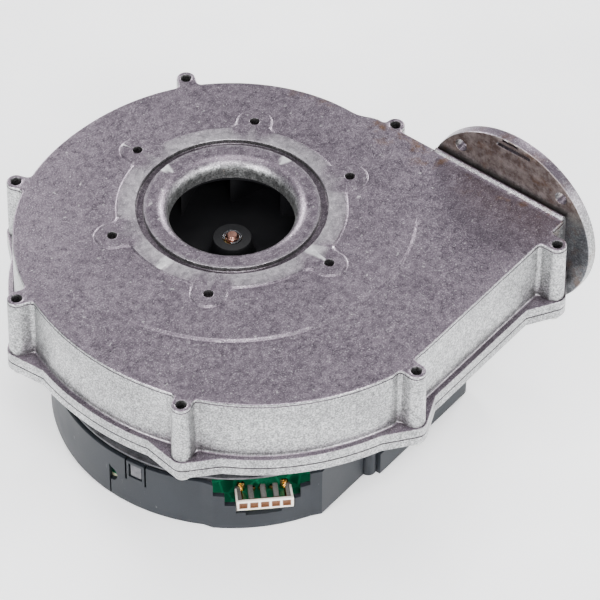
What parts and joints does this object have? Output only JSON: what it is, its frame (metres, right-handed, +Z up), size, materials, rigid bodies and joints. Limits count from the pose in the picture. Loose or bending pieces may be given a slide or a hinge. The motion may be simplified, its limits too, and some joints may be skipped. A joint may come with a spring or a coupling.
{
  "type": "combustion fan",
  "caption": "Premix combustion fan: die-cast scroll with a rolled inlet and round outlet flange, on an external-rotor motor in a plastic cover.",
  "frame": {"origin": "on the fan's axis at the underside of the motor cover", "axes": "+Z up the fan's axis to the inlet, +X out of the outlet flange"},
  "size_m": [0.1763, 0.1919, 0.1246],
  "materials": {
    "cast_aluminium": "as die-cast, mottled grey with a fine grain",
    "zinc_steel": "zinc plated, satin",
    "shaft_steel": "ground, with a warm heat tint",
    "lamination_steel": "varnished stack",
    "bearing_steel": "ground and polished",
    "enamelled_copper": "glossy wire enamel over copper",
    "brass": "turned",
    "black_plastic": "satin moulding",
    "impeller_plastic": "glass-filled moulding",
    "header_nylon": "natural nylon",
    "circuit_board": "green solder mask",
    "seal_rubber": "matt",
    "ferrite": "matt sintered ceramic",
    "gold_plated": "bright plated",
    "capacitor_can": "sleeved can"
  },
  "bodies": {
    "root": {"back_plate": "cast_aluminium", "board_screw_1": "zinc_steel", "board_screw_2": "zinc_steel", "board_screw_3": "zinc_steel", "circuit_board": "circuit_board", "connector_header": "header_nylon", "connector_pin_1": "gold_plated", "connector_pin_2": "gold_plated", "connector_pin_3": "gold_plated", "connector_pin_4": "gold_plated", "connector_pin_5": "gold_plated", "driver_chip": "impeller_plastic", "filter_choke": "ferrite", "hall_sensor": "impeller_plastic", "housing_screw_1": "zinc_steel", "housing_screw_2": "zinc_steel", "housing_screw_3": "zinc_steel", "housing_screw_4": "zinc_steel", "housing_screw_5": "zinc_steel", "housing_screw_6": "zinc_steel", "housing_screw_7": "zinc_steel", "housing_seal": "seal_rubber", "lower_bearing_outer_ring": "bearing_steel", "motor_cover": "black_plastic", "motor_flange": "cast_aluminium", "motor_flange_screw_1": "zinc_steel", "motor_flange_screw_2": "zinc_steel", "motor_flange_screw_3": "zinc_steel", "preload_spring": "zinc_steel", "shaft_seal": "seal_rubber", "smoothing_capacitor_1": "capacitor_can", "smoothing_capacitor_2": "capacitor_can", "stator_coil_1": "enamelled_copper", "stator_coil_2": "enamelled_copper", "stator_coil_3": "enamelled_copper", "stator_coil_4": "enamelled_copper", "stator_coil_5": "enamelled_copper", "stator_coil_6": "enamelled_copper", "stator_core": "lamination_steel", "stator_insulator_lower": "header_nylon", "stator_insulator_upper": "header_nylon", "upper_bearing_outer_ring": "bearing_steel", "volute_housing": "cast_aluminium"},
    "rotor": {"motor_shaft": "shaft_steel", "rotor_cup": "zinc_steel", "rotor_hub": "brass", "rotor_magnet": "ferrite", "lower_bearing_inner_ring": "bearing_steel", "upper_bearing_inner_ring": "bearing_steel", "impeller_wheel": "impeller_plastic", "impeller_shroud": "impeller_plastic", "impeller_bush": "brass", "retaining_clip": "zinc_steel"},
    "lower_balls": {"lower_bearing_balls": "bearing_steel"},
    "upper_balls": {"upper_bearing_balls": "bearing_steel"}
  },
  "joints": [
    {"name": "rotor_spin", "type": "hinge", "parent": "root", "child": "rotor", "pos_m": [0, 0, 0.06], "axis": [0, 0, 1], "continuous": true},
    {"name": "lower_cage_spin", "type": "hinge", "parent": "root", "child": "lower_balls", "pos_m": [0, 0, 0.0365], "axis": [0, 0, 1], "continuous": true},
    {"name": "upper_cage_spin", "type": "hinge", "parent": "root", "child": "upper_balls", "pos_m": [0, 0, 0.056], "axis": [0, 0, 1], "continuous": true}
  ],
  "couplings": [
    {"joint": "lower_cage_spin", "follows": "rotor_spin", "ratio": 0.3832},
    {"joint": "upper_cage_spin", "follows": "rotor_spin", "ratio": 0.3832}
  ]
}
